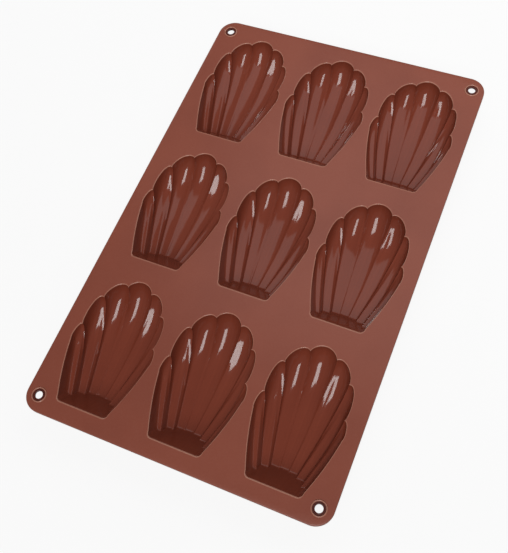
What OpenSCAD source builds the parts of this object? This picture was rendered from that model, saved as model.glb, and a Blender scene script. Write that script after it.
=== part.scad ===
// Flexible silicone madeleine pan with nine fan-shaped cavities, three columns of three.
// The pan stands mouths up on the bottoms of its cavities. X runs across the columns,
// Y runs along the fans from their straight bases to their lobed tips, and Z is up.
// The origin is on the surface that the pan stands on, under the middle of the pan.

/* [Pan] */
// Width of sheet between the mouths of two neighbouring columns
web_w = 6.5; // [6:0.1:12]
// Length of sheet between the tips of one row and the bases of the next
web_l = 13.8; // [6:0.1:24]
// Width of pan beside the outer columns, bead included
side_margin = 8.4; // [6.5:0.1:20]
// Length of pan beyond the lobed tips of the back row, bead included
tip_margin = 10.1; // [7:0.1:24]
// Length of pan in front of the bases of the front row, bead included
base_margin = 10.1; // [7:0.1:24]
// Radius of the pan's four outer corners
corner_r = 10; // [6:0.5:12]
// Thickness of the flat sheet round the cavities
sheet_t = 1.6; // [1.2:0.1:2.4]

/* [Cavity] */
// Length of a cavity's mouth, from the straight base to the tip of the middle lobe
cavity_l = 77.4; // [60:0.2:90]
// Width of a cavity's mouth, across its widest pair of lobes
cavity_w = 48.4; // [42:0.2:56]
// Width of a cavity's mouth at its straight base
base_w = 30.8; // [24:0.2:33]
// Depth of a cavity below the top of the sheet
cavity_depth = 18; // [12:0.5:24]
// Thickness of a cavity's wall
wall_t = 1.2; // [0.8:0.1:1.3]
// Slope of the flat wall at a cavity's base, up from level
base_wall_angle = 54; // [45:1:70]
// Radius of the two corners at a cavity's base
base_corner_r = 2.6; // [1.5:0.1:4]
// Height of the ridges between the flutes at the base, as a share of the depth there
ridge_at_base = 0.012; // [0:0.002:0.1]
// Height of the ridges between the flutes at the tips, as a share of the depth there
ridge_at_tip = 0.26; // [0.1:0.01:0.4]

/* [Rim] */
// Width of the bead that runs round the edge of the pan
rim_w = 3; // [2:0.1:4]
// Height of the bead, from the top of the sheet down
rim_h = 3.6; // [3:0.1:6]
// Radius along the bead's two lower edges
rim_edge_r = 0.9; // [0.4:0.1:0.9]

/* [Bending strips] */
// Width of the thin strip between two columns, where the pan folds
strip_w = 3; // [2.4:0.1:3.2]

/* [Hanging eyelets] */
// Distance from an eyelet's middle to the long edge of the pan
eyelet_x = 7.6; // [7:0.1:9]
// Distance from an eyelet's middle to the short edge of the pan
eyelet_y = 8.8; // [8:0.1:10]
// Radius of the thick pad round an eyelet
pad_r = 8.4; // [7:0.1:8.6]
// Radius of the hollow corners where the pad runs into the bead
pad_fillet_r = 3; // [1.5:0.1:4]
// Radius of the hole
hole_r = 2.15; // [1.5:0.05:3]
// Radius of the recess round the hole, in the underside
recess_r = 4.6; // [4:0.1:5.5]
// Thickness of the skin that the hole goes through
skin_t = 0.8; // [0.6:0.1:1.6]
// Radius of the raised lip on top, to the middle of the lip
lip_r = 3.7; // [3.6:0.1:5]
// Half the thickness of that lip
lip_half = 0.6; // [0.4:0.05:0.8]
// Least width of sheet that stays between a pad and a cavity's wall
pad_gap = 0.4; // [0.3:0.1:1]

/* [Hidden] */
$fn = 48;

// Column and row places, counted from the middle of the pan
LEFT = -1;
CENTRE = 0;
RIGHT = 1;
FRONT = -1;
MIDDLE = 0;
BACK = 1;

// Colours of the silicone
SHELL_COLOUR = "#6b3226";
SHEET_COLOUR = "#8a5548";
RIM_COLOUR = "#935d4f";

// Distance from one column of cavities to the next, and from one row to the next
COLUMNS = 3;
ROWS = 3;
column_pitch = cavity_w + web_w;
row_pitch = cavity_l + web_l;

// Width and length of the pan, 175 by 280 mm with the sizes above
pan_w = COLUMNS * cavity_w + (COLUMNS - 1) * web_w + 2 * side_margin;
pan_l = ROWS * cavity_l + (ROWS - 1) * web_l + tip_margin + base_margin;
half_w = pan_w / 2;
half_l = pan_l / 2;

// Height of the sheet's top and underside above the surface that the pan stands on
top_z = cavity_depth + wall_t;
under_z = top_z - sheet_t;
// How far a cutting shape runs past the face that it cuts
CUT = 1;

// Shape of a fan. A fan has seven lobes, and each row below is one lobe of its right half,
// from the middle lobe outward. First the cusp at the lobe's outer end, as shares of the
// cavity's half width and length, then how far the lobe's edge swells past the line between
// its two cusps, as a share of the length, then how far that swelling leans to the tip side.
LOBES = 7;
CUSP = [[0.302, 0.934], [0.727, 0.802], [0.897, 0.563], [0.996, 0.439]];
SWELL = [0.066, 0.048, 0.041, 0.019];
LEAN = [1, 0.75, 0.61, 0.7];
SWELL_POWER = 0.68;
// The straight sides bow out by this share of the cavity's length
SIDE_BOW = 0.011;
// The flutes' feet stand wider apart in the middle than at the sides, by this share
BASE_SPREAD = 0.16;
// Depth of each flute's floor, from the middle one outward, as a share of the cavity's depth
FLOOR = [1, 0.965, 0.78, 0.47];
// Power that sharpens the steps between those floors, at the tips
STEP_AT_TIP = 1.8;
// Powers that round the side wall and the fall to the tips, and that raise the ridges there
SIDE_POWER = 2.5;
FALL_POWER = 3.6;
RIDGE_POWER = 3;
// What sets the two faces of a cavity's wall apart. First how far the face lies outside the
// cavity, then the depth of its edge, then the height of its ridges at the base, then the power
// that sharpens its steps there, then the power that flattens its flutes.
GROW = 0;
LIP = 1;
RIDGE = 2;
STEP = 3;
FLAT = 4;
INSIDE = [0, 0, ridge_at_base, 6.5, 3];
OUTSIDE = [wall_t, sheet_t, 0.04, 4.5, 2];
// Rings round an eyelet's hole: half the thickness of the collar on top, how far the hole cuts
// into it, and half the thickness of the ring underneath and its distance from the hole
COLLAR_HALF = 0.4;
COLLAR_BITE = 0.15;
RING_HALF = 0.35;
RING_GAP = 0.45;
// Steps of the mesh across each lobe, which are even in number, and along a flute
LOBE_STEPS = 6;
RUN_STEPS = 8;
ACROSS = LOBES * LOBE_STEPS;

// Number of the lobe, 0 in the middle to 3 at the side, and the place across it from 0 to 1,
// for a place across the fan from 0 in the middle to 1 at the side
function lobe_of(a) = min(3, floor((LOBES * abs(a) + 1) / 2));
function across_lobe(a) = (LOBES * abs(a) + 1) / 2 - lobe_of(a);

// Place across the fan of one line of the mesh, closer together at the two sides
function line_place(i) =
    let (k = abs(i - ACROSS / 2) / LOBE_STEPS + 0.5)
    let (lobe = min(3, floor(k)))
    let (t = k - lobe)
    sign(i - ACROSS / 2) * (2 * (lobe + (lobe == 3 ? sin(90 * t) : t)) - 1) / LOBES;

// A cusp in millimetres, from the middle of the cavity's base edge
function cusp(n) = [CUSP[n].x * cavity_w / 2, CUSP[n].y * cavity_l];

// Point on the right half of the lobed edge of the mouth
function lobed_edge(a) =
    let (n = lobe_of(a))
    let (t = across_lobe(a))
    let (p = n == 0 ? [-cusp(0).x, cusp(0).y] : cusp(n - 1))
    let (q = cusp(n))
    let (chord = (q - p) / norm(q - p))
    let (lean = pow(t, LEAN[n]))
    let (swell = SWELL[n] * cavity_l * pow(max(0, 4 * lean * (1 - lean)), SWELL_POWER))
    p + (q - p) * t + swell * [-chord.y, chord.x];

// The same point on either half, moved out by grow, which is 0 for the cavity's own wall
function mouth_edge(a, grow) =
    let (p = lobed_edge(a))
    let (out = p - [0, CUSP[3].y * cavity_l])
    let (moved = p + grow * out / norm(out))
    [a < 0 ? -moved.x : moved.x, moved.y];

// Point on the base edge of the mouth, straight with a round corner at each end
function base_edge(a, grow) =
    let (x = a * (1 + BASE_SPREAD * (1 - a * a)) * (base_w / 2 + grow))
    let (r = base_corner_r + grow)
    let (past = max(0, abs(x) - (base_w / 2 - base_corner_r)))
    [x, r - grow - sqrt(max(0, r * r - past * past))];

// Arch across the fan, 1 in the middle and 0 at the sides. Each flute's floor is a step of it,
// and the step to the floor beside it has its middle at the cusp between the two.
function arch(a, s, face) =
    let (n = lobe_of(a))
    let (side = 2 * across_lobe(a) - 1)
    let (beside = side > 0 ? FLOOR[n + 1] : FLOOR[max(n - 1, 0)])
    let (power = face[STEP] + (STEP_AT_TIP - face[STEP]) * s)
    n == 3 && side > 0
        ? FLOOR[n] * sqrt(1 - pow(side, SIDE_POWER))
        : FLOOR[n] + (beside - FLOOR[n]) * pow(abs(side), power) / 2;

// Fall along a flute, 1 at the base and 0 at the tip
function fall(s) = sqrt(max(0, 1 - pow(s, FALL_POWER)));

// What the ridges take off the depth, none in the middle of a flute and most at a cusp
function ridge(a, s, face) =
    (face[RIDGE] + (ridge_at_tip - face[RIDGE]) * pow(s, RIDGE_POWER))
    * pow(abs(2 * across_lobe(a) - 1), face[FLAT]);

// Depth of a face, from its own edge's depth down
function depth(a, s, face) =
    face[LIP]
    + (cavity_depth + face[GROW] - face[LIP]) * arch(a, s, face) * fall(s) * (1 - ridge(a, s, face));

// Foot of the slanted base wall, where the flutes start
function wall_foot(a, face) =
    let (p = base_edge(a, face[GROW]))
    [p.x, p.y + (depth(a, 0, face) - face[LIP]) / tan(base_wall_angle)];

// Point of the fluted surface, s along the flute from its foot to its tip
function flute_point(a, s, face) =
    let (foot = wall_foot(a, face))
    let (tip = mouth_edge(a, face[GROW]))
    let (bow = SIDE_BOW * cavity_l * 4 * s * (1 - s) * pow(abs(a), 3) * sign(a))
    let (p = foot + (tip - foot) * s + [bow, 0])
    [p.x, p.y, -depth(a, s, face)];

// All points of one surface: the fluted rows from the foot to the tips, then the base edge
function surface_points(face) = [
    for (j = [0:RUN_STEPS])
        for (i = [0:ACROSS])
            flute_point(line_place(i), sin(90 * j / RUN_STEPS), face),
    for (i = [1:ACROSS - 1])
        let (p = base_edge(line_place(i), face[GROW]))
        [p.x, p.y, -face[LIP]]
];

// Numbers of those points
function fluted(j, i) = j * (ACROSS + 1) + i;
function based(i) = i == 0 || i == ACROSS ? fluted(0, i) : fluted(RUN_STEPS, ACROSS) + i;

// The loop of points round the mouth, from the base's left corner towards its right one
RIM_LOOP = [
    for (i = [0:ACROSS]) based(i),
    for (j = [1:RUN_STEPS]) fluted(j, ACROSS),
    for (i = [ACROSS - 1:-1:0]) fluted(RUN_STEPS, i),
    for (j = [RUN_STEPS - 1:-1:1]) fluted(j, 0)
];

// Triangles of one surface, seen from above
SURFACE_FACES = [
    for (j = [0:RUN_STEPS - 1])
        for (i = [0:ACROSS - 1])
            each [
                [fluted(j, i), fluted(j + 1, i), fluted(j + 1, i + 1)],
                [fluted(j, i), fluted(j + 1, i + 1), fluted(j, i + 1)]
            ],
    for (i = [0:ACROSS - 1])
        each [
            if (i > 0) [based(i), fluted(0, i), fluted(0, i + 1)],
            if (i < ACROSS - 1) [based(i), fluted(0, i + 1), based(i + 1)]
        ]
];

// Outline of the hole in the sheet that one cavity's outer wall fills
OUTER_POINTS = surface_points(OUTSIDE);
INNER_POINTS = surface_points(INSIDE);
HOLE_OUTLINE = [for (n = RIM_LOOP) [OUTER_POINTS[n].x, OUTER_POINTS[n].y]];

// The same outline with the least width of sheet round it, which a pad stays out of
LIMIT_POINTS = surface_points([wall_t + pad_gap, sheet_t, OUTSIDE[RIDGE], OUTSIDE[STEP], OUTSIDE[FLAT]]);
PAD_LIMIT = [for (n = RIM_LOOP) [LIMIT_POINTS[n].x, LIMIT_POINTS[n].y]];

// Middle of a cavity's base edge, for its column and row
function column_x(column) = column * column_pitch;
function row_y(row) = row * row_pitch + (base_margin - tip_margin - cavity_l) / 2;

// X of the fold between the centre column and the one beside it
function fold_x(side) = side * column_pitch / 2;

// One cavity: a thin fluted bowl with a flat brim that fills the hole in the sheet
module shell(column, row) {
    count = len(INNER_POINTS);
    loop = len(RIM_LOOP);
    brim = [for (p = HOLE_OUTLINE) [p.x, p.y, 0]];
    outer = [for (f = SURFACE_FACES) [f[0] + count, f[2] + count, f[1] + count]];
    brim_faces = [
        for (n = [0:loop - 1])
            let (m = (n + 1) % loop)
            each [
                [RIM_LOOP[n], RIM_LOOP[m], 2 * count + m],
                [RIM_LOOP[n], 2 * count + m, 2 * count + n],
                [2 * count + n, 2 * count + m, count + RIM_LOOP[m]],
                [2 * count + n, count + RIM_LOOP[m], count + RIM_LOOP[n]]
            ]
    ];
    color(SHELL_COLOUR)
        translate([column_x(column), row_y(row), top_z])
            polyhedron(
                points = concat(INNER_POINTS, OUTER_POINTS, brim),
                faces = concat(SURFACE_FACES, outer, brim_faces)
            );
}

// Plan of the pad at the pan's right corner in the back or the front row, with the
// stretches of bead beside it
module pad_plan(row) {
    at = [half_w - eyelet_x, half_l - eyelet_y];
    difference() {
        mirror([0, row < 0 ? 1 : 0])
            intersection() {
                pan_plan();
                union() {
                    translate(at) circle(r = pad_r);
                    // The corner itself and the two stretches of bead
                    translate([pad_end_x(), half_l - rim_w]) square([half_w - pad_end_x(), rim_w]);
                    translate([half_w - rim_w, pad_end_y()]) square([rim_w, half_l - pad_end_y()]);
                    translate(at) square([eyelet_x, eyelet_y]);
                    pad_fillet(at, [pad_end_x(), half_l - rim_w - pad_fillet_r], [0, 1]);
                    pad_fillet(at, [half_w - rim_w - pad_fillet_r, pad_end_y()], [1, 0]);
                }
            }
        // The pad gives way to the cavity beside it, where the two would meet
        translate([column_x(RIGHT), row_y(row)]) polygon(PAD_LIMIT);
    }
}

// Where the hollow corners of the pad end, along the short edge and along the long edge
function pad_end_x() =
    half_w - eyelet_x - sqrt(pow(pad_r + pad_fillet_r, 2) - pow(rim_w + pad_fillet_r - eyelet_y, 2));
function pad_end_y() =
    half_l - eyelet_y - sqrt(pow(pad_r + pad_fillet_r, 2) - pow(rim_w + pad_fillet_r - eyelet_x, 2));

// Hollow corner between the pad, whose middle is at, and the bead that lies along side
module pad_fillet(at, middle, side) {
    touch = at + (middle - at) * pad_r / norm(middle - at);
    bead = middle + side * pad_fillet_r;
    over_pad = side.x == 0 ? [at.x, bead.y] : [bead.x, at.y];
    difference() {
        polygon([middle, bead, over_pad, at, touch]);
        translate(middle) circle(r = pad_fillet_r);
    }
}

// Plan of the whole pan
module pan_plan() {
    square([pan_w - 2 * corner_r, pan_l], center = true);
    square([pan_w, pan_l - 2 * corner_r], center = true);
    for (x = [-1, 1], y = [-1, 1])
        translate([x * (half_w - corner_r), y * (half_l - corner_r)]) circle(r = corner_r);
}

// One eyelet in its corner. Its hole goes through a thin skin, with a collar and a raised lip
// round it on top, and a deep recess round it underneath with a ring on the recess's floor.
module eyelet(side, row) {
    recess_depth = rim_h - skin_t;
    mirror([side < 0 ? 1 : 0, 0, 0])
        color(RIM_COLOUR)
            difference() {
                union() {
                    difference() {
                        translate([0, 0, top_z - rim_h]) linear_extrude(rim_h) pad_plan(row);
                        eyelet_middle(row, -rim_h - CUT) cylinder(r = recess_r, h = recess_depth + CUT);
                    }
                    eyelet_middle(row, 0) ring(lip_r, lip_half);
                    eyelet_middle(row, 0) ring(hole_r + COLLAR_HALF - COLLAR_BITE, COLLAR_HALF);
                    eyelet_middle(row, -skin_t) ring(hole_r + RING_GAP + RING_HALF, RING_HALF);
                }
                eyelet_middle(row, -rim_h - CUT) cylinder(r = hole_r, h = rim_h + lip_half + 2 * CUT);
            }
}

// Moves a shape to the middle of the right eyelet in a row, up from the top of the sheet
module eyelet_middle(row, up) {
    translate([half_w - eyelet_x, row * (half_l - eyelet_y), top_z + up]) children();
}

// Ring of round section
module ring(radius, half) {
    rotate_extrude() translate([radius, 0]) circle(r = half);
}

// Cross-section of the bead: its top outer corner is at the origin and it runs to -X
module rim_profile() {
    translate([-rim_w, -rim_h + rim_edge_r]) square([rim_w, rim_h - rim_edge_r]);
    translate([-rim_w + rim_edge_r, -rim_h]) square([rim_w - 2 * rim_edge_r, rim_edge_r]);
    for (x = [-rim_w + rim_edge_r, -rim_edge_r])
        translate([x, -rim_h + rim_edge_r]) circle(r = rim_edge_r);
}

// Bead along a long edge of the pan, between its two pads
module rim_long(side) {
    length = 2 * pad_end_y();
    color(RIM_COLOUR)
        mirror([side < 0 ? 1 : 0, 0, 0])
            translate([half_w, length / 2, top_z])
                rotate([90, 0, 0]) linear_extrude(length) rim_profile();
}

// Bead along part of a short edge of the pan, from one X to another
module rim_short(row, from_x, to_x) {
    color(RIM_COLOUR)
        mirror([0, row < 0 ? 1 : 0, 0])
            translate([from_x, half_l, top_z])
                rotate([90, 0, 90]) linear_extrude(to_x - from_x) rim_profile();
}

// The flat sheet round the three cavities of one column
module sheet(column) {
    inner_x = (column_pitch - strip_w) / 2;
    color(SHEET_COLOUR)
        translate([0, 0, under_z])
            linear_extrude(sheet_t)
                difference() {
                    if (column == CENTRE)
                        square([2 * inner_x, pan_l - 2 * rim_w], center = true);
                    else
                        side_sheet_plan(column, inner_x + strip_w);
                    for (row = [FRONT, MIDDLE, BACK])
                        translate([column_x(column), row_y(row)]) polygon(HOLE_OUTLINE);
                }
}

// Plan of a side column's sheet, from from_x to the bead, less its two pads
module side_sheet_plan(side, from_x) {
    mirror([side < 0 ? 1 : 0, 0])
        difference() {
            translate([from_x, -half_l + rim_w])
                square([half_w - rim_w - from_x, pan_l - 2 * rim_w]);
            pad_plan(BACK);
            pad_plan(FRONT);
        }
}

// The strip of sheet between two columns, which bends
module bend_strip(side) {
    color(SHEET_COLOUR)
        translate([fold_x(side) - strip_w / 2, -half_l + rim_w, under_z])
            cube([strip_w, pan_l - 2 * rim_w, sheet_t]);
}

// The short length of bead at the end of a bending strip
module bend_rim(row, side) {
    rim_short(row, fold_x(side) - strip_w / 2, fold_x(side) + strip_w / 2);
}

// The bead's stretch along one column's end
module rim_end(row, column) {
    inner_x = (column_pitch - strip_w) / 2;
    if (column == CENTRE)
        rim_short(row, -inner_x, inner_x);
    else
        mirror([column < 0 ? 1 : 0, 0, 0]) rim_short(row, inner_x + strip_w, pad_end_x());
}

shell(LEFT, BACK);  // shell_left_back
shell(LEFT, MIDDLE);  // shell_left_middle
shell(LEFT, FRONT);  // shell_left_front
shell(CENTRE, BACK);  // shell_centre_back
shell(CENTRE, MIDDLE);  // shell_centre_middle
shell(CENTRE, FRONT);  // shell_centre_front
shell(RIGHT, BACK);  // shell_right_back
shell(RIGHT, MIDDLE);  // shell_right_middle
shell(RIGHT, FRONT);  // shell_right_front
sheet(LEFT);  // sheet_left
sheet(CENTRE);  // sheet_centre
sheet(RIGHT);  // sheet_right
bend_strip(LEFT);  // bend_strip_left
bend_strip(RIGHT);  // bend_strip_right
rim_long(LEFT);  // rim_left
rim_long(RIGHT);  // rim_right
rim_end(BACK, LEFT);  // rim_back_left
rim_end(BACK, CENTRE);  // rim_back_centre
rim_end(BACK, RIGHT);  // rim_back_right
rim_end(FRONT, LEFT);  // rim_front_left
rim_end(FRONT, CENTRE);  // rim_front_centre
rim_end(FRONT, RIGHT);  // rim_front_right
bend_rim(BACK, LEFT);  // bend_rim_back_left
bend_rim(BACK, RIGHT);  // bend_rim_back_right
bend_rim(FRONT, LEFT);  // bend_rim_front_left
bend_rim(FRONT, RIGHT);  // bend_rim_front_right
eyelet(LEFT, BACK);  // eyelet_back_left
eyelet(RIGHT, BACK);  // eyelet_back_right
eyelet(LEFT, FRONT);  // eyelet_front_left
eyelet(RIGHT, FRONT);  // eyelet_front_right
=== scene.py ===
"""Looks of a flexible silicone madeleine pan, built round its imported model.

The pan is one moulding of silicone. Each piece here stands for one CAD node, and neighbours
share the same points along their common edge, so that no joint shows between them.
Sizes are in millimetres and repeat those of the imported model.
"""
import math

import bpy
from mathutils import Matrix, Vector
from mathutils.geometry import delaunay_2d_cdt


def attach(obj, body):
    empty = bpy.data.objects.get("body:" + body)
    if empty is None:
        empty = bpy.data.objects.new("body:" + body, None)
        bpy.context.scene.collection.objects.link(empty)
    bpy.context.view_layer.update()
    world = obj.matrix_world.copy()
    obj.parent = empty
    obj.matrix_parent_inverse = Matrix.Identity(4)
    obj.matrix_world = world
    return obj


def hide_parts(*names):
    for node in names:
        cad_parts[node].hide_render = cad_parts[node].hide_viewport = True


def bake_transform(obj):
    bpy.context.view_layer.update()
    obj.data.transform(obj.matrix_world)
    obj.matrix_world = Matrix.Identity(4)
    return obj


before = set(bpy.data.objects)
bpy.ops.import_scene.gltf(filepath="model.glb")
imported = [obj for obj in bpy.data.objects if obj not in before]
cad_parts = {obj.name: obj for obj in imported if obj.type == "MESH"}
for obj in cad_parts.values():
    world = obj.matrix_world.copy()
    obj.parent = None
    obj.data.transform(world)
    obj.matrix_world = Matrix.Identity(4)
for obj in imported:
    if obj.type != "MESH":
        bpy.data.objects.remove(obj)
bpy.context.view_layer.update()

MM = 0.001
# Corners closer than this are merged, and outline points closer than this are left out
MERGE = 0.002
NEAR = 0.003
# Room for rounding errors
TINY = 1e-9

# Cavities
CAVITY_L = 77.4
CAVITY_W = 48.4
BASE_W = 30.8
CAVITY_DEPTH = 18.0
WALL_T = 1.2
BASE_WALL_ANGLE = math.radians(54)
BASE_CORNER_R = 2.6
LOBES = 7
CUSPS = ((0.302, 0.934), (0.727, 0.802), (0.897, 0.563), (0.996, 0.439))
SWELLS = (0.066, 0.048, 0.041, 0.019)
LEANS = (1, 0.75, 0.61, 0.7)
SWELL_POWER = 0.68
SIDE_BOW = 0.011
BASE_SPREAD = 0.16
FLOORS = (1, 0.965, 0.78, 0.47)
STEP_AT_TIP = 1.8
SIDE_POWER = 2.5
FALL_POWER = 3.6
RIDGE_AT_TIP = 0.26
RIDGE_POWER = 3

# Pan
COLUMN_PITCH = 54.9
ROW_PITCH = 91.2
PAN_W = 175.0
PAN_L = 280.0
CORNER_R = 10.0
SHEET_T = 1.6
TOP_Z = CAVITY_DEPTH + WALL_T
HALF_W = PAN_W / 2
HALF_L = PAN_L / 2
RIM_W = 3.0
RIM_H = 3.6
RIM_EDGE_R = 0.9
SHEET_END = HALF_L - RIM_W

# Bending strips, from the centre column's edge to the side column's
STRIP_W = 3.0
INNER_X = (COLUMN_PITCH - STRIP_W) / 2
OUTER_X = INNER_X + STRIP_W

# Eyelets, and the rings round their holes
EYE = Vector((HALF_W - 7.6, HALF_L - 8.8))
PAD_R = 8.4
PAD_FILLET_R = 3.0
HOLE_R = 2.15
RECESS_R = 4.6
SKIN_T = 0.8
LIP_R = 3.87
LIP_HALF = 0.42
LIP_H = 0.598
COLLAR_HALF = 0.4
COLLAR_BITE = 0.15
RING_HALF = 0.35
RING_GAP = 0.45

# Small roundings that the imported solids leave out
MOUTH_R = 0.45
UNDER_R = 0.5
TOP_EDGE_R = 0.5
BEAD_FOOT_R = 0.4
HOLE_EDGE_R = 0.15
RECESS_EDGE_R = 0.35
RECESS_CORNER_R = 0.25

# Mesh steps: across a lobe, and down a cavity's wall, round its foot and along its floor
LOBE_STEPS = 18
WALL_ROWS = 4
FOOT_ROWS = 5
FLOOR_ROWS = 32
ACROSS = LOBES * LOBE_STEPS
ALONG = WALL_ROWS + FOOT_ROWS + FLOOR_ROWS
ROUND_MOUTH = 2 * (ACROSS + ALONG)
# How much closer together the mesh's lines stand at the ridges
RIDGE_CROWD = 0.8
# Mesh steps of a small rounding, across a bending strip, and round an eyelet's parts
ROUND_STEPS = 4
FOLD_STEPS = 12
CORNER_STEPS = 20
FILLET_STEPS = 8
PAD_STEPS = 28
HOLE_STEPS = 48

COLUMNS = {"left": -1, "centre": 0, "right": 1}
ROWS = {"front": -1, "middle": 0, "back": 1}


# Materials

WHITE = (1, 1, 1, 1)
SILICONE_IOR = 1.45
# Widths of the patterns in the silicone: patches of tint, grain with its flecks, and dust
CLOUD_W = 45
GRAIN_W = 0.9
DUST_W = 0.45
FLECK_COLOUR = "c49a8c"
DUST_COLOUR = "d8c0b6"
# Drawn lines: how many to a radian, how far below a cavity's middle they meet, and their shade
LINE_SCALE = 70
LINE_APEX = 98.0
LINE_COLOUR = "5a2317"
LINE_SHARE = 0.35


class Wire:
    """A socket of a finish. Sums and products of wires add their Math nodes."""

    def __init__(self, finish, socket):
        self.finish = finish
        self.socket = socket

    def math(self, operation, other):
        return self.finish.add("Math", {"operation": operation}, {0: self, 1: other})

    def __add__(self, other):
        return self.math("ADD", other)

    __radd__ = __add__

    def __mul__(self, other):
        return self.math("MULTIPLY", other)

    __rmul__ = __mul__


class Finish:
    """One material, or the world, built node by node."""

    def __init__(self, owner):
        owner.use_nodes = True
        self.owner = owner
        self.tree = owner.node_tree
        self.tree.nodes.clear()

    def add(self, kind, settings=None, values=None, output=0):
        """Adds a node, makes its settings and then fills or links its sockets."""
        node = self.tree.nodes.new("ShaderNode" + kind)
        for key, value in (settings or {}).items():
            if key == "stops":
                for stop, (place, shade) in zip(node.color_ramp.elements, value):
                    stop.position = place
                    stop.color = (shade, shade, shade, 1)
            else:
                setattr(node, key, value)
        for key, value in (values or {}).items():
            if isinstance(value, Wire):
                self.tree.links.new(value.socket, node.inputs[key])
            else:
                node.inputs[key].default_value = value
        return Wire(self, node.outputs[output]) if node.outputs else None

    def place(self, axis, pitch):
        """Object coordinate along X or Y, counted from the middle of the nearest cavity."""
        spot = self.add("TexCoord", output="Object")
        along = self.add("SeparateXYZ", values={"Vector": spot}, output=axis)
        half = pitch / 2 * MM
        return self.add("Math", {"operation": "WRAP"}, {0: along, 1: half, 2: -half})

    def drawn_lines(self):
        """Fine lines that fan out along the flutes, from 0 to 1."""
        apex = self.place("Y", ROW_PITCH) + LINE_APEX * MM
        turn = self.place("X", COLUMN_PITCH).math("ARCTAN2", apex)
        values = {"W": turn, "Scale": LINE_SCALE, "Detail": 2}
        return self.add("TexNoise", {"noise_dimensions": "1D"}, values)

    def noise(self, size, detail=2.0, roughness=0.5):
        """Cloudy pattern whose patches are about size millimetres wide, from 0 to 1."""
        place = self.add("TexCoord", output="Object")
        scale = 1 / (size * MM)
        return self.add("TexNoise", values={
            "Vector": place,
            "Scale": scale,
            "Detail": detail,
            "Roughness": roughness,
        })

    def stretch(self, pattern, low, high):
        """Pattern stretched so that low becomes 0 and high becomes 1."""
        return self.add("ValToRGB", {"stops": ((low, 0), (high, 1))}, {"Fac": pattern})

    def mix(self, share, first, second):
        """Colour between first and second."""
        values = {"Factor": share, 6: first, 7: second}
        return self.add("Mix", {"data_type": "RGBA"}, values, output=2)

    def surface(self, shader, output="Material"):
        """Ends the nodes with shader and gives the material, or the world."""
        self.add("Output" + output, values={"Surface": shader})
        return self.owner


def rgb(code):
    """Linear colour of a hexadecimal screen colour."""
    parts = [int(code[n:n + 2], 16) / 255 for n in (0, 2, 4)]
    return tuple(p / 12.92 if p <= 0.04045 else ((p + 0.055) / 1.055) ** 2.4 for p in parts) + (1,)


def silicone(name, deep, pale, roughness, wave=0, wave_w=28, grain=0, drawn=0, mottle=0, dust=0):
    """Brown silicone, tinted in patches from deep to pale.

    wave, grain and drawn are bump depths in millimetres: waves that are wave_w wide, fine grain,
    and lines drawn along the flutes. mottle and dust are the shares of pale flecks and of dust.
    """
    finish = Finish(bpy.data.materials.new(name))
    tint = finish.stretch(finish.noise(CLOUD_W, detail=3), low=0.36, high=0.64)
    colour = finish.mix(tint, rgb(deep), rgb(pale))
    look = {"Roughness": roughness, "IOR": SILICONE_IOR}
    height = wave * MM * finish.noise(wave_w, detail=1) if wave else 0
    if grain:
        fine = finish.noise(GRAIN_W, detail=3, roughness=0.6)
        height = grain * MM * fine + height
        flecks = finish.stretch(fine, low=0.35, high=0.75)
        colour = finish.mix(mottle * flecks, colour, rgb(FLECK_COLOUR))
    if dust:
        specks = finish.stretch(finish.noise(DUST_W, detail=1), low=0.65, high=0.77)
        colour = finish.mix(dust * specks, colour, rgb(DUST_COLOUR))
    if drawn:
        lines = finish.drawn_lines()
        height = height + drawn * MM * lines
        colour = finish.mix(LINE_SHARE * lines, colour, rgb(LINE_COLOUR))
    if wave:
        look["Normal"] = finish.add("Bump", values={"Height": height, "Distance": 1, "Strength": 1})
    return finish.surface(finish.add("BsdfPrincipled", values={"Base Color": colour, **look}))


CAVITY_GLOSS = silicone("cavity_gloss", "7b3a2a", "813e2d", 0.1, wave=0.06, wave_w=9, drawn=0.015)
SHEET_SATIN = silicone("sheet_satin", "844434", "8b4938", 0.34, wave=0.05, grain=0.004, mottle=0.03)
# Painted highlight: a paler brown for the mouth's rounded edge and the eyelets' lips, where light
# catches them
EDGE_PAINTED_HIGHLIGHT = silicone("edge_painted_highlight", "a56d5b", "ab7562", 0.25)
# Painted shade: a darker brown for the groove and collar round each eyelet's hole, where shade
# falls
GROOVE_PAINTED_SHADE = silicone("groove_painted_shade", "4e1c12", "562015", 0.4)
UNDER_MATT = silicone("underside_matt", "804b3b", "885343", 0.58,
                      wave=0.05, grain=0.02, mottle=0.04, dust=0.14)
FINISHES = (UNDER_MATT, SHEET_SATIN, CAVITY_GLOSS, EDGE_PAINTED_HIGHLIGHT, GROOVE_PAINTED_SHADE)
MATT, SATIN, GLOSS, PAINTED_HIGHLIGHT, PAINTED_SHADE = range(5)


# Making pieces

def deselect():
    bpy.ops.object.select_all(action="DESELECT")


def fresh(name):
    """The piece that was just added, with its name and finishes."""
    piece = bpy.context.object
    piece.name = name
    piece.data.name = name
    for finish in FINISHES:
        piece.data.materials.append(finish)
    return piece


def grid(name, across, along, place, finish):
    """Sheet of quads whose corners go to place(i, j). finish(j) gives each row's finish."""
    deselect()
    bpy.ops.mesh.primitive_grid_add(x_subdivisions=across, y_subdivisions=along, size=2)
    piece = fresh(name)
    for quad in piece.data.polygons:
        quad.material_index = finish(int((quad.center.y + 1) / 2 * along))
    for corner in piece.data.vertices:
        i = round((corner.co.x + 1) / 2 * across)
        j = round((corner.co.y + 1) / 2 * along)
        corner.co = Vector(place(i, j)) * MM
    return piece


def join(name, pieces):
    """One piece out of several, under a new name."""
    deselect()
    for piece in pieces:
        piece.select_set(True)
    bpy.context.view_layer.objects.active = pieces[0]
    bpy.ops.object.join()
    joined = bpy.context.object
    joined.name = name
    joined.data.name = name
    return joined


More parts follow.
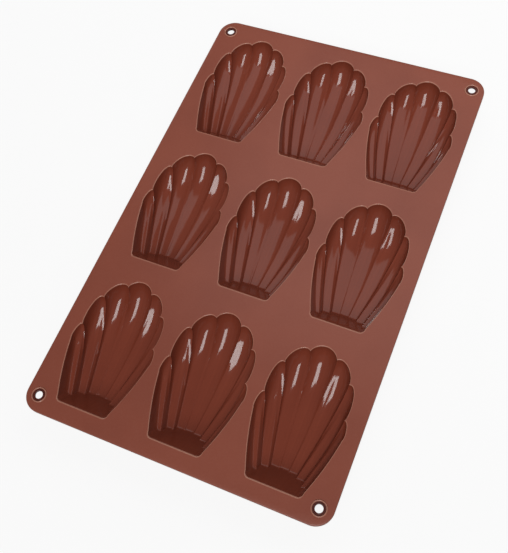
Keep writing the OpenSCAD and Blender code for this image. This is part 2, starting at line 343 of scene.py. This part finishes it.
def close(piece, smooth=35):
    """Merges common corners, fills open ends, turns faces outwards and smooths soft edges."""
    deselect()
    piece.select_set(True)
    bpy.context.view_layer.objects.active = piece
    bpy.ops.object.mode_set(mode="EDIT")
    bpy.ops.mesh.select_all(action="SELECT")
    bpy.ops.mesh.remove_doubles(threshold=MERGE * MM)
    bpy.ops.mesh.fill_holes(sides=0)
    bpy.ops.mesh.normals_make_consistent(inside=False)
    bpy.ops.object.mode_set(mode="OBJECT")
    bpy.ops.object.shade_smooth_by_angle(angle=math.radians(smooth))
    return piece


def bar(name, length, pieces, section, finish):
    """Closed bar along X from the origin. section holds the corners (y, z) round it."""
    count = len(section)

    def place(i, j):
        return length * i / pieces, *section[j % count]

    return close(grid(name, pieces, count, place, finish))


def plate(name, outlines, finish):
    """Flat plate between an outer outline and the outlines of its holes.

    The fill of edit mode leaves gaps between outlines like these, so it is triangulated here.
    """
    points = []
    loops = []
    for outline in outlines:
        area = sum(a[0] * b[1] - b[0] * a[1] for a, b in zip(outline, outline[1:] + outline[:1]))
        loops.append(list(range(len(points), len(points) + len(outline))))
        points += [Vector(point) for point in (outline if area > 0 else reversed(outline))]
    flat = [point.to_2d() for point in points]
    inside_only = 1
    corners, _, faces, _, _, sources = delaunay_2d_cdt(flat, [], loops, inside_only, 1e-5)
    kept = [face for face, source in zip(faces, sources) if source == [0]]
    mesh = bpy.data.meshes.new(name)
    mesh.from_pydata([(c.x * MM, c.y * MM, points[0].z * MM) for c in corners], [], kept)
    piece = bpy.data.objects.new(name, mesh)
    bpy.context.scene.collection.objects.link(piece)
    bpy.context.view_layer.objects.active = piece
    fresh(name)
    for face in piece.data.polygons:
        face.material_index = finish
    return piece


def flipped(piece, flip):
    """Mirrors a piece in its mesh, in X or Y where flip is -1."""
    piece.data.transform(Matrix.Diagonal((*flip, 1, 1)))
    if flip[0] * flip[1] < 0:
        piece.data.flip_normals()
    return piece


def placed(piece, move, degrees=0):
    """Turns a piece about Z and then moves it, in its mesh."""
    turn = Matrix.Rotation(math.radians(degrees), 4, "Z")
    piece.data.transform(Matrix.Translation(Vector(move) * MM) @ turn)
    return piece


def twin(piece, name, flip=(1, 1)):
    """Copy of a piece with its own mesh, mirrored by flip."""
    copy = piece.copy()
    copy.data = piece.data.copy()
    copy.name = name
    copy.data.name = name
    bpy.context.scene.collection.objects.link(copy)
    return flipped(copy, flip)


def settle(piece, node, column, folds=False):
    """Puts a piece in place of its node, on its column or across the column's bending strip."""
    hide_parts(node)
    if folds:
        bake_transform(piece)
    else:
        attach(piece, column + "_column")


# Shape of a cavity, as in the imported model: across runs from -1 to 1 and along from 0 to 1

class Face:
    """One face of a cavity's wall, with how its flutes or ribs are cut."""

    def __init__(self, foot_r, ridge_at_base, flute_power, step_at_base, crest_share):
        self.foot_r = foot_r
        self.ridge_at_base = ridge_at_base
        self.flute_power = flute_power
        self.step_at_base = step_at_base
        self.crest_share = crest_share


INSIDE = Face(1.2, ridge_at_base=0.012, flute_power=3, step_at_base=20, crest_share=0.14)
OUTSIDE = Face(3.0, ridge_at_base=0.05, flute_power=2, step_at_base=4.5, crest_share=0.3)


def lobe_at(across):
    """Number of the lobe, 0 in the middle to 3 at the side, and the place across it."""
    count = (LOBES * abs(across) + 1) / 2
    lobe = min(3, math.floor(count + TINY))
    return lobe, min(1, max(0, count - lobe))


def cusp(n):
    """Outer end of lobe n of the right half."""
    return Vector((CUSPS[n][0] * CAVITY_W / 2, CUSPS[n][1] * CAVITY_L))


def mouth_edge(across, grow):
    """Point on the lobed edge of the mouth, moved out by grow."""
    lobe, t = lobe_at(across)
    first = Vector((-cusp(0).x, cusp(0).y)) if lobe == 0 else cusp(lobe - 1)
    last = cusp(lobe)
    chord = (last - first).normalized()
    lean = t ** LEANS[lobe]
    swell = SWELLS[lobe] * CAVITY_L * max(0, 4 * lean * (1 - lean)) ** SWELL_POWER
    point = first.lerp(last, t) + swell * Vector((-chord.y, chord.x))
    point += grow * (point - Vector((0, CUSPS[3][1] * CAVITY_L))).normalized()
    return Vector((math.copysign(point.x, across) if lobe or across < 0 else point.x, point.y))


def base_edge(across, grow):
    """Point on the straight edge of the mouth, with a round corner at each end."""
    x = across * (1 + BASE_SPREAD * (1 - across * across)) * (BASE_W / 2 + grow)
    r = BASE_CORNER_R + grow
    past = max(0, abs(x) - (BASE_W / 2 - BASE_CORNER_R))
    return Vector((x, r - grow - math.sqrt(max(0, r * r - past * past))))


def ridge(across, along, face):
    """Share that the ridge between two flutes takes off the depth, with a rounded crest."""
    lobe, t = lobe_at(across)
    side = abs(2 * t - 1)
    power = face.flute_power
    past = max(0, side - (1 - face.crest_share))
    crest = side ** power - past ** 2 * power / (2 * face.crest_share)
    return (face.ridge_at_base + (RIDGE_AT_TIP - face.ridge_at_base) * along ** RIDGE_POWER) * crest


def arch(across, along, face):
    """Depth of the flutes' floors, as a share of the middle one's. Each is a step of the arch."""
    lobe, t = lobe_at(across)
    side = 2 * t - 1
    power = face.step_at_base + (STEP_AT_TIP - face.step_at_base) * along
    if lobe == 3 and side > 0:
        return FLOORS[3] * math.sqrt(max(0, 1 - side ** SIDE_POWER))
    beside = FLOORS[lobe + 1] if side > 0 else FLOORS[max(lobe - 1, 0)]
    return FLOORS[lobe] + (beside - FLOORS[lobe]) * abs(side) ** power / 2


def depth(across, along, face, grow, lip):
    """Depth of a face, from its own edge's depth down."""
    fall = math.sqrt(max(0, 1 - along ** FALL_POWER))
    share = arch(across, along, face) * fall * (1 - ridge(across, along, face))
    return lip + (CAVITY_DEPTH + grow - lip) * share


def floor_point(across, along, face, grow, lip):
    """Point of the fluted floor, or of its foot where along is 0."""
    foot = base_edge(across, grow)
    foot.y += (depth(across, 0, face, grow, lip) - lip) / math.tan(BASE_WALL_ANGLE)
    point = foot.lerp(mouth_edge(across, grow), along)
    point.x += SIDE_BOW * CAVITY_L * 4 * along * (1 - along) * across * across * across
    return Vector((point.x, point.y, -depth(across, along, face, grow, lip)))


def line_place(i):
    """Place across the fan of one line of the mesh, closer together at the ridges."""
    count = abs(i - ACROSS / 2) / LOBE_STEPS + 0.5
    lobe = min(3, math.floor(count + TINY))
    t = count - lobe
    if lobe == 3:
        t = (1 - math.cos(math.pi * t)) / 2
    else:
        t -= RIDGE_CROWD * math.sin(2 * math.pi * t) / (2 * math.pi)
    return math.copysign((2 * (lobe + t) - 1) / LOBES, i - ACROSS / 2)


def cavity_point(i, j, face, grow, lip):
    """Corner of the mesh of a cavity: down the base wall, round its foot, along the floor."""
    across = line_place(i)
    edge = base_edge(across, grow)
    top = Vector((edge.x, edge.y, -lip))
    foot = floor_point(across, 0, face, grow, lip)
    drop = (foot - top).length
    turn = foot + (top - foot) * min(1, face.foot_r / max(drop, TINY))
    after = face.foot_r / CAVITY_L
    if j <= WALL_ROWS:
        return top.lerp(turn, j / WALL_ROWS)
    if j <= WALL_ROWS + FOOT_ROWS:
        t = (j - WALL_ROWS) / FOOT_ROWS
        onward = floor_point(across, after, face, grow, lip)
        return turn * (1 - t) ** 2 + foot * 2 * t * (1 - t) + onward * t * t
    t = math.sin(math.pi / 2 * (j - WALL_ROWS - FOOT_ROWS) / FLOOR_ROWS)
    return floor_point(across, after + (1 - after) * t, face, grow, lip)


def perimeter(n):
    """Mesh line and row of point n round the mouth, from the base's left corner."""
    n %= ROUND_MOUTH
    if n <= ACROSS:
        return n, 0
    if n <= ACROSS + ALONG:
        return ACROSS, n - ACROSS
    if n <= 2 * ACROSS + ALONG:
        return 2 * ACROSS + ALONG - n, ALONG
    return 0, ROUND_MOUTH - n


def rim_point(n, face, grow, lip):
    """Point n of the mouth's edge, moved out by grow and lowered to lip."""
    i, j = perimeter(n)
    return cavity_point(i, j, face, grow, lip)


def wall_slope(n):
    """Slope of the wall at point n: gentle at the base wall and upright round the rest."""
    i, j = perimeter(n)
    if j > 0:
        return math.pi / 2
    past = max(0, abs(base_edge(line_place(i), 0).x) - (BASE_W / 2 - BASE_CORNER_R)) / BASE_CORNER_R
    return BASE_WALL_ANGLE + (math.pi / 2 - BASE_WALL_ANGLE) * past ** 2


def rounding(slope, height, share):
    """Level and upright distance along an arc from a wall's slope to level, height high."""
    radius = height / (1 - math.cos(slope))
    turned = slope * (1 - share)
    out = radius * (math.sin(slope) - math.sin(turned))
    up = radius * (math.cos(turned) - math.cos(slope))
    return out, up


def brim_point(n, k):
    """Corner of the band between the inner and the outer wall: edge, brim, foot, fillet."""
    slope = wall_slope(n)
    if k <= ROUND_STEPS:
        out, up = rounding(slope, MOUTH_R, k / ROUND_STEPS)
        return rim_point(n, INSIDE, out, MOUTH_R - up)
    if k == ROUND_STEPS + 1:
        return rim_point(n, OUTSIDE, WALL_T, 0)
    if k == ROUND_STEPS + 2:
        return rim_point(n, OUTSIDE, WALL_T, SHEET_T)
    out, up = rounding(slope, UNDER_R, 1 - (k - ROUND_STEPS - 3) / ROUND_STEPS)
    return rim_point(n, OUTSIDE, WALL_T + out, SHEET_T + UNDER_R - up)


def brim_finish(k):
    """The band's rows: a painted highlight round the mouth's edge, satin on the brim and matt
    below.
    """
    if k < ROUND_STEPS:
        return PAINTED_HIGHLIGHT
    return SATIN if k == ROUND_STEPS else MATT


def cavity_shell():
    """One cavity, inside and outside, with its base edge's middle on the origin."""
    inside = grid("inside", ACROSS, ALONG,
                  lambda i, j: cavity_point(i, j, INSIDE, 0, MOUTH_R),
                  lambda j: GLOSS)
    outside = grid("outside", ACROSS, ALONG,
                   lambda i, j: cavity_point(i, j, OUTSIDE, WALL_T, SHEET_T + UNDER_R),
                   lambda j: MATT)
    brim = grid("brim", ROUND_MOUTH, 2 * ROUND_STEPS + 3, brim_point, brim_finish)
    return close(join("shell", [inside, outside, brim]), smooth=50)


def base_middle(column, row):
    """Middle of the base edge of the cavity in one column and row."""
    return COLUMNS[column] * COLUMN_PITCH, ROWS[row] * ROW_PITCH - CAVITY_L / 2


shell = cavity_shell()
for column in COLUMNS:
    for row in ROWS:
        name = f"shell_{column}_{row}"
        cup = placed(twin(shell, name + "_cup"), (*base_middle(column, row), TOP_Z))
        settle(cup, name, column)
bpy.data.objects.remove(shell)


# Eyelets and bead

def arc(middle, radius, start, end, steps):
    """Points of an arc with their directions, from start to end in degrees."""
    points = []
    for n in range(steps + 1):
        turn = math.radians(start + (end - start) * n / steps)
        away = Vector((math.cos(turn), math.sin(turn)))
        points.append((Vector(middle) + radius * away, away))
    return points


def pad_side():
    """Inner outline of the right back pad, from the short edge's bead to the long edge's.

    Each entry is a point and the direction out of the pad there.
    """
    reach = PAD_R + PAD_FILLET_R
    y = HALF_L - RIM_W - PAD_FILLET_R
    x = HALF_W - RIM_W - PAD_FILLET_R
    back = Vector((EYE.x - math.sqrt(reach ** 2 - (y - EYE.y) ** 2), y))
    side = Vector((x, EYE.y - math.sqrt(reach ** 2 - (x - EYE.x) ** 2)))
    to_back = math.degrees(math.atan2(back.y - EYE.y, back.x - EYE.x))
    to_side = math.degrees(math.atan2(side.y - EYE.y, side.x - EYE.x)) + 360
    if to_back < 0:
        to_back += 360
    hollow = [(p, -d) for p, d in arc(back, PAD_FILLET_R, 90, to_back - 180, FILLET_STEPS)]
    disc = arc(EYE, PAD_R, to_back, to_side, PAD_STEPS)[1:-1]
    other = [(p, -d) for p, d in arc(side, PAD_FILLET_R, to_side - 180, 0, FILLET_STEPS)]
    return hollow + disc + other


PAD_SIDE = pad_side()
PAD_END_X = PAD_SIDE[0][0].x
PAD_END_Y = PAD_SIDE[-1][0].y


def bead_section():
    """Half sections of the bead, from its top down to its lowest edge.

    Each step gives how far in from its outer face, how far out of its inner face, and the depth.
    """
    quarter = [math.pi / 2 * n / ROUND_STEPS for n in range(ROUND_STEPS + 1)]
    steps = []
    for turn in quarter:
        steps.append((TOP_EDGE_R * (1 - math.sin(turn)), 0, TOP_EDGE_R * (1 - math.cos(turn))))
    steps.append((0, 0, SHEET_T))
    for turn in quarter:
        drop = SHEET_T + BEAD_FOOT_R * (1 - math.cos(turn))
        steps.append((0, BEAD_FOOT_R * (1 - math.sin(turn)), drop))
    for turn in quarter:
        inset = RIM_EDGE_R * (1 - math.cos(turn))
        steps.append((inset, -inset, RIM_H - RIM_EDGE_R * (1 - math.sin(turn))))
    return steps


SECTION = bead_section()
SECTION_STEPS = len(SECTION) - 1


def section_finish(j):
    """The top rounding is satin as the sheet, and the rest matt as the underside."""
    return SATIN if j < ROUND_STEPS else MATT


def bead(name, length, pieces=1):
    """Straight bead along X, its outer face towards +Y and its top outer edge on the origin."""
    outer = [(-inset, -drop) for inset, _, drop in SECTION]
    inner = [(-RIM_W - out, -drop) for _, out, drop in reversed(SECTION)]
    section = outer + inner

    def finish(j):
        return SATIN if j == len(section) - 1 else section_finish(j)

    return bar(name, length, pieces, section, finish)


def lay_beads():
    """The ten lengths of bead round the pan."""
    right = placed(bead("bead_right", 2 * PAD_END_Y), (HALF_W, PAD_END_Y, TOP_Z), -90)
    settle(twin(right, "bead_left", (-1, 1)), "rim_left", "left")
    settle(right, "rim_right", "right")
    for row, sign in (("back", 1), ("front", -1)):
        middle = placed(bead(f"bead_{row}_centre", 2 * INNER_X), (-INNER_X, HALF_L, TOP_Z))
        settle(flipped(middle, (1, sign)), f"rim_{row}_centre", "centre")
        for column, side in (("left", -1), ("right", 1)):
            name = f"bead_{row}_{column}"
            end = placed(bead(name, PAD_END_X - OUTER_X), (OUTER_X, HALF_L, TOP_Z))
            settle(flipped(end, (side, sign)), f"rim_{row}_{column}", column)
            link = placed(bead(name + "_fold", STRIP_W, FOLD_STEPS), (INNER_X, HALF_L, TOP_Z))
            link = flipped(link, (side, sign))
            settle(link, f"bend_rim_{row}_{column}", column, folds=True)


lay_beads()


def eyelet_outline():
    """Outline of the right back eyelet: point, outer direction, and if it is the pan's edge."""
    corner = arc((HALF_W - CORNER_R, HALF_L - CORNER_R), CORNER_R, 0, 90, CORNER_STEPS)
    start = (Vector((HALF_W, PAD_END_Y)), Vector((1, 0)))
    end = (Vector((PAD_END_X, HALF_L)), Vector((0, 1)))
    outer = [(point, away, True) for point, away in (start, *corner, end)]
    return outer + [(point, away, False) for point, away in PAD_SIDE]


def ring_section():
    """Radius, depth and finish of the rings round the hole, from the lip in and out below."""
    middle = HOLE_R + COLLAR_HALF - COLLAR_BITE
    trimmed = math.degrees(math.acos((HOLE_R - middle) / COLLAR_HALF))
    under = HOLE_R + RING_GAP + RING_HALF
    # Finish, middle, radius, start and end in degrees, and steps
    rounds = (
        # The collar round the hole is given the painted shade
        (PAINTED_SHADE, (middle, 0), COLLAR_HALF, 0, -trimmed, 8),
        (MATT, (HOLE_R + HOLE_EDGE_R, SKIN_T - HOLE_EDGE_R), HOLE_EDGE_R, 180, 90, 3),
        (MATT, (under, SKIN_T), RING_HALF, 180, 0, 8),
        (MATT, (RECESS_R - RECESS_CORNER_R, SKIN_T + RECESS_CORNER_R), RECESS_CORNER_R, -90, 0, 4),
        (MATT, (RECESS_R + RECESS_EDGE_R, RIM_H - RECESS_EDGE_R), RECESS_EDGE_R, 180, 90, 4),
    )
    # The lip's crest is given the painted highlight
    lip = [(p.x, p.y * LIP_H / LIP_HALF, PAINTED_HIGHLIGHT) for p, _ in arc((LIP_R, 0), LIP_HALF, 0, -180, 10)]
    # The lip's inner foot is given the painted shade too
    lip[-2:] = [(radius, drop, PAINTED_SHADE) for radius, drop, _ in lip[-2:]]
    return lip + [(p.x, p.y, finish) for finish, *line in rounds for p, _ in arc(*line)]


def eyelet_shape():
    """The right back eyelet: its outline, top, underside, and the ring round its hole."""
    entries = eyelet_outline()
    count = len(entries)
    ring = ring_section()

    def wall(i, j):
        point, away, at_edge = entries[i % count]
        inset, out, drop = SECTION[j]
        shift = -inset if at_edge else out
        return point.x + away.x * shift, point.y + away.y * shift, TOP_Z - drop

    def around(i, j):
        turn = 2 * math.pi * i / HOLE_STEPS
        radius, drop, _ = ring[j]
        return EYE.x + radius * math.cos(turn), EYE.y + radius * math.sin(turn), TOP_Z - drop

    edge = grid("edge", count, SECTION_STEPS, wall, section_finish)
    hole = grid("hole", HOLE_STEPS, len(ring) - 1, around, lambda j: ring[j][2])
    top = plate("top", [[wall(i, 0) for i in range(count)],
                        [around(i, 0) for i in range(HOLE_STEPS)]], SATIN)
    bottom = plate("bottom", [[wall(i, SECTION_STEPS) for i in range(count)],
                              [around(i, len(ring) - 1) for i in range(HOLE_STEPS)]], MATT)
    return close(join("eyelet", [edge, hole, top, bottom]), smooth=40)


eyelet = eyelet_shape()
for row, along in (("back", 1), ("front", -1)):
    for column, across in (("left", -1), ("right", 1)):
        name = f"eyelet_{row}_{column}"
        settle(twin(eyelet, name + "_ring", (across, along)), name, column)
bpy.data.objects.remove(eyelet)


# Sheet

def hole_outline(column, row):
    """Outline of one cavity's hole in the sheet."""
    x, y = base_middle(column, row)
    points = [rim_point(n, OUTSIDE, WALL_T, 0) for n in range(ROUND_MOUTH)]
    slim = [points[0]]
    for point in points[1:]:
        if (point - slim[-1]).length > NEAR:
            slim.append(point)
    return [(p.x + x, p.y + y, TOP_Z) for p in slim]


def flat_sheet(name, outline, holes):
    """Plate of the sheet's thickness with its top at TOP_Z."""
    piece = plate(name, [outline, *holes], SATIN)
    deselect()
    piece.select_set(True)
    bpy.ops.object.mode_set(mode="EDIT")
    bpy.ops.mesh.select_all(action="SELECT")
    bpy.ops.mesh.extrude_region_move(TRANSFORM_OT_translate={"value": (0, 0, -SHEET_T * MM)})
    bpy.ops.object.mode_set(mode="OBJECT")
    close(piece)
    for face in piece.data.polygons:
        face.material_index = SATIN if face.normal.z > 0.5 else MATT
    return piece


def sheet_outline(side):
    """Outline of the centre column's sheet, or of a side column's round its two pads."""
    if side == 0:
        corners = ((-1, -1), (1, -1), (1, 1), (-1, 1))
        return [(x * INNER_X, y * SHEET_END, TOP_Z) for x, y in corners]
    pad = [(p.x, p.y) for p, _ in PAD_SIDE]
    back = [(OUTER_X, SHEET_END)] + pad
    front = [(x, -y) for x, y in reversed(back)]
    return [(side * x, y, TOP_Z) for x, y in back + front]


for column, side in COLUMNS.items():
    holes = [hole_outline(column, row) for row in ROWS]
    piece = flat_sheet(f"sheet_{column}_plate", sheet_outline(side), holes)
    settle(piece, f"sheet_{column}", column)

STRIP_SECTION = [(-SHEET_END, 0), (-SHEET_END, -SHEET_T), (SHEET_END, -SHEET_T), (SHEET_END, 0)]
for column, side in (("left", -1), ("right", 1)):
    strip = bar(f"strip_{column}", STRIP_W, FOLD_STEPS, STRIP_SECTION,
                lambda j: SATIN if j == 3 else MATT)
    strip = placed(strip, (side * COLUMN_PITCH / 2 - STRIP_W / 2, 0, TOP_Z))
    settle(strip, f"bend_strip_{column}", column, folds=True)


# Floor, light and camera

FLOOR_COLOUR = (0.85, 0.85, 0.85, 1)
# Share of white in what the camera sees of the floor, and strength of what it sees of the world
FLOOR_SEEN = 0.85
WORLD_SEEN = 0.93
# Strength of the world's light on the pan
WORLD_LIGHT = 0.12


def floor_finish():
    """Pale floor that shows near white to the camera, and keeps the pan's shadow."""
    finish = Finish(bpy.data.materials.new("pale_floor"))
    paint = finish.add("BsdfPrincipled", values={"Base Color": FLOOR_COLOUR, "Roughness": 0.6})
    white = finish.add("Emission", values={"Color": WHITE, "Strength": 1})
    seen = finish.add("LightPath", output="Is Camera Ray")
    shader = finish.add("MixShader", values={"Fac": FLOOR_SEEN * seen, 1: paint, 2: white})
    return finish.surface(shader)


def studio_world():
    """World that shows near white to the camera, and lights the pan faintly from all round."""
    world = Finish(bpy.data.worlds.new("studio"))
    light = world.add("Background", values={"Color": WHITE, "Strength": WORLD_LIGHT})
    white = world.add("Background", values={"Color": WHITE, "Strength": WORLD_SEEN})
    seen = world.add("LightPath", output="Is Camera Ray")
    shader = world.add("MixShader", values={"Fac": seen, 1: light, 2: white})
    return world.surface(shader, output="World")


def softbox(name, place, aim, size, power):
    """Rectangular lamp at place that faces aim. Places and sizes are in metres, power in watts."""
    lamp = bpy.data.lights.new(name, "AREA")
    lamp.shape = "RECTANGLE"
    lamp.size, lamp.size_y = size
    lamp.energy = power
    piece = bpy.data.objects.new(name, lamp)
    bpy.context.scene.collection.objects.link(piece)
    piece.visible_camera = False
    piece.location = place
    piece.rotation_euler = (Vector(aim) - Vector(place)).to_track_quat("-Z", "Y").to_euler()


deselect()
bpy.ops.mesh.primitive_plane_add(size=8)
ground = bpy.context.object
ground.name = "pale_floor"
ground.data.materials.append(floor_finish())

bpy.context.scene.world = studio_world()
# The panel faces straight down, and the last digit of its aim sets which way its length lies
softbox("back_panel", (0.15, 0.24, 0.36), (0.15, 0.2401, 0), (0.66, 0.41), 0.72)
softbox("front_key", (1.0, -3.3, 4.9), (0, 0, 0), (2.3, 4.2), 260)
softbox("back_left", (-0.7, 0.6, 0.3), (0, 0.05, 0), (0.12, 0.3), 0.8)

CAMERA_PLACE = Vector((111.4, -177.1, 400.7)) * MM
CAMERA_AIM = Vector((0, -24, 10)) * MM
CAMERA_ROLL = math.radians(14.9)
camera_data = bpy.data.cameras.new("camera")
camera_data.sensor_fit = "HORIZONTAL"
camera_data.sensor_width = 36
camera_data.lens = 54
camera_data.clip_start = 0.01
camera = bpy.data.objects.new("camera", camera_data)
bpy.context.scene.collection.objects.link(camera)
level = (CAMERA_AIM - CAMERA_PLACE).to_track_quat("-Z", "Y").to_matrix().to_4x4()
roll = Matrix.Rotation(-CAMERA_ROLL, 4, "Z")
camera.matrix_world = Matrix.Translation(CAMERA_PLACE) @ level @ roll
bpy.context.scene.camera = camera

bpy.context.scene.view_settings.view_transform = "Standard"
